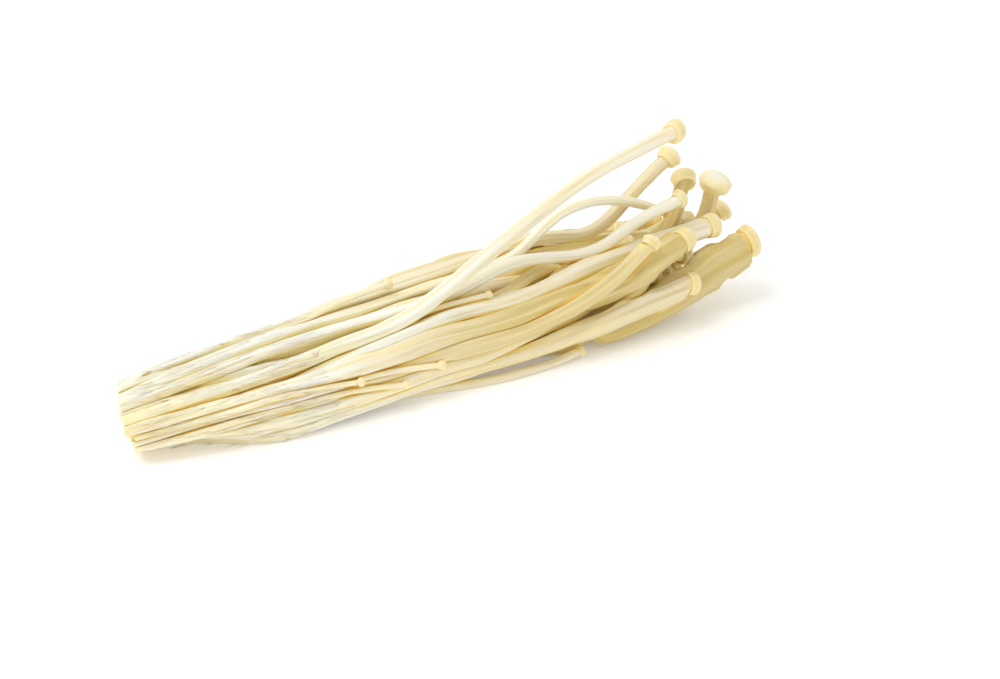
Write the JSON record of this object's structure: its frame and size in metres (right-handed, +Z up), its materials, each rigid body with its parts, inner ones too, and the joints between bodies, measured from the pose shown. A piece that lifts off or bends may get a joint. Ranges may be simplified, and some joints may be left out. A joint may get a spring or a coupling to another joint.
{
  "type": "enoki mushroom bunch",
  "caption": "Bunch of long thin enoki mushrooms with small knob caps, cut off above the root and lying on its side, feet packed together and caps fanned out.",
  "frame": {"origin": "middle of the rectangle that the bunch covers on the surface it lies on, at the height of that surface", "axes": "+X from the cut feet to the caps, +Y across the bunch, +Z up"},
  "size_m": [0.1512, 0.0428, 0.0422],
  "materials": {
    "mushroom_flesh": "satin, slightly translucent, fibrous along the stem",
    "pin_flesh": "satin, slightly translucent"
  },
  "bodies": {
    "root": {"belly_mushroom": "mushroom_flesh", "big_cap_mushroom": "mushroom_flesh", "broad_mushroom": "mushroom_flesh", "crossing_mushroom": "mushroom_flesh", "curved_front_mushroom": "mushroom_flesh", "far_end_mushroom": "mushroom_flesh", "high_mushroom": "mushroom_flesh", "looped_mushroom": "mushroom_flesh", "low_front_mushroom": "mushroom_flesh", "mushroom_01": "mushroom_flesh", "mushroom_02": "mushroom_flesh", "mushroom_03": "mushroom_flesh", "mushroom_04": "mushroom_flesh", "mushroom_05": "mushroom_flesh", "mushroom_06": "mushroom_flesh", "mushroom_07": "mushroom_flesh", "mushroom_08": "mushroom_flesh", "mushroom_09": "mushroom_flesh", "mushroom_10": "mushroom_flesh", "mushroom_11": "mushroom_flesh", "mushroom_12": "mushroom_flesh", "mushroom_13": "mushroom_flesh", "mushroom_14": "mushroom_flesh", "mushroom_15": "mushroom_flesh", "mushroom_16": "mushroom_flesh", "mushroom_17": "mushroom_flesh", "mushroom_18": "mushroom_flesh", "mushroom_19": "mushroom_flesh", "mushroom_20": "mushroom_flesh", "mushroom_21": "mushroom_flesh", "mushroom_22": "mushroom_flesh", "mushroom_23": "mushroom_flesh", "mushroom_24": "mushroom_flesh", "mushroom_25": "mushroom_flesh", "mushroom_26": "mushroom_flesh", "mushroom_27": "mushroom_flesh", "mushroom_28": "mushroom_flesh", "mushroom_29": "mushroom_flesh", "mushroom_30": "mushroom_flesh", "mushroom_31": "mushroom_flesh", "mushroom_32": "mushroom_flesh", "mushroom_33": "mushroom_flesh", "mushroom_34": "mushroom_flesh", "mushroom_35": "mushroom_flesh", "mushroom_36": "mushroom_flesh", "mushroom_37": "mushroom_flesh", "pin_mushroom_1": "pin_flesh", "pin_mushroom_2": "pin_flesh", "pin_mushroom_3": "pin_flesh", "pin_mushroom_4": "pin_flesh", "pin_mushroom_5": "pin_flesh", "pin_mushroom_6": "pin_flesh", "second_high_mushroom": "mushroom_flesh", "shaded_mushroom": "mushroom_flesh", "trailing_mushroom": "mushroom_flesh", "upturned_mushroom": "mushroom_flesh", "wavy_mushroom": "mushroom_flesh"}
  },
  "joints": []
}
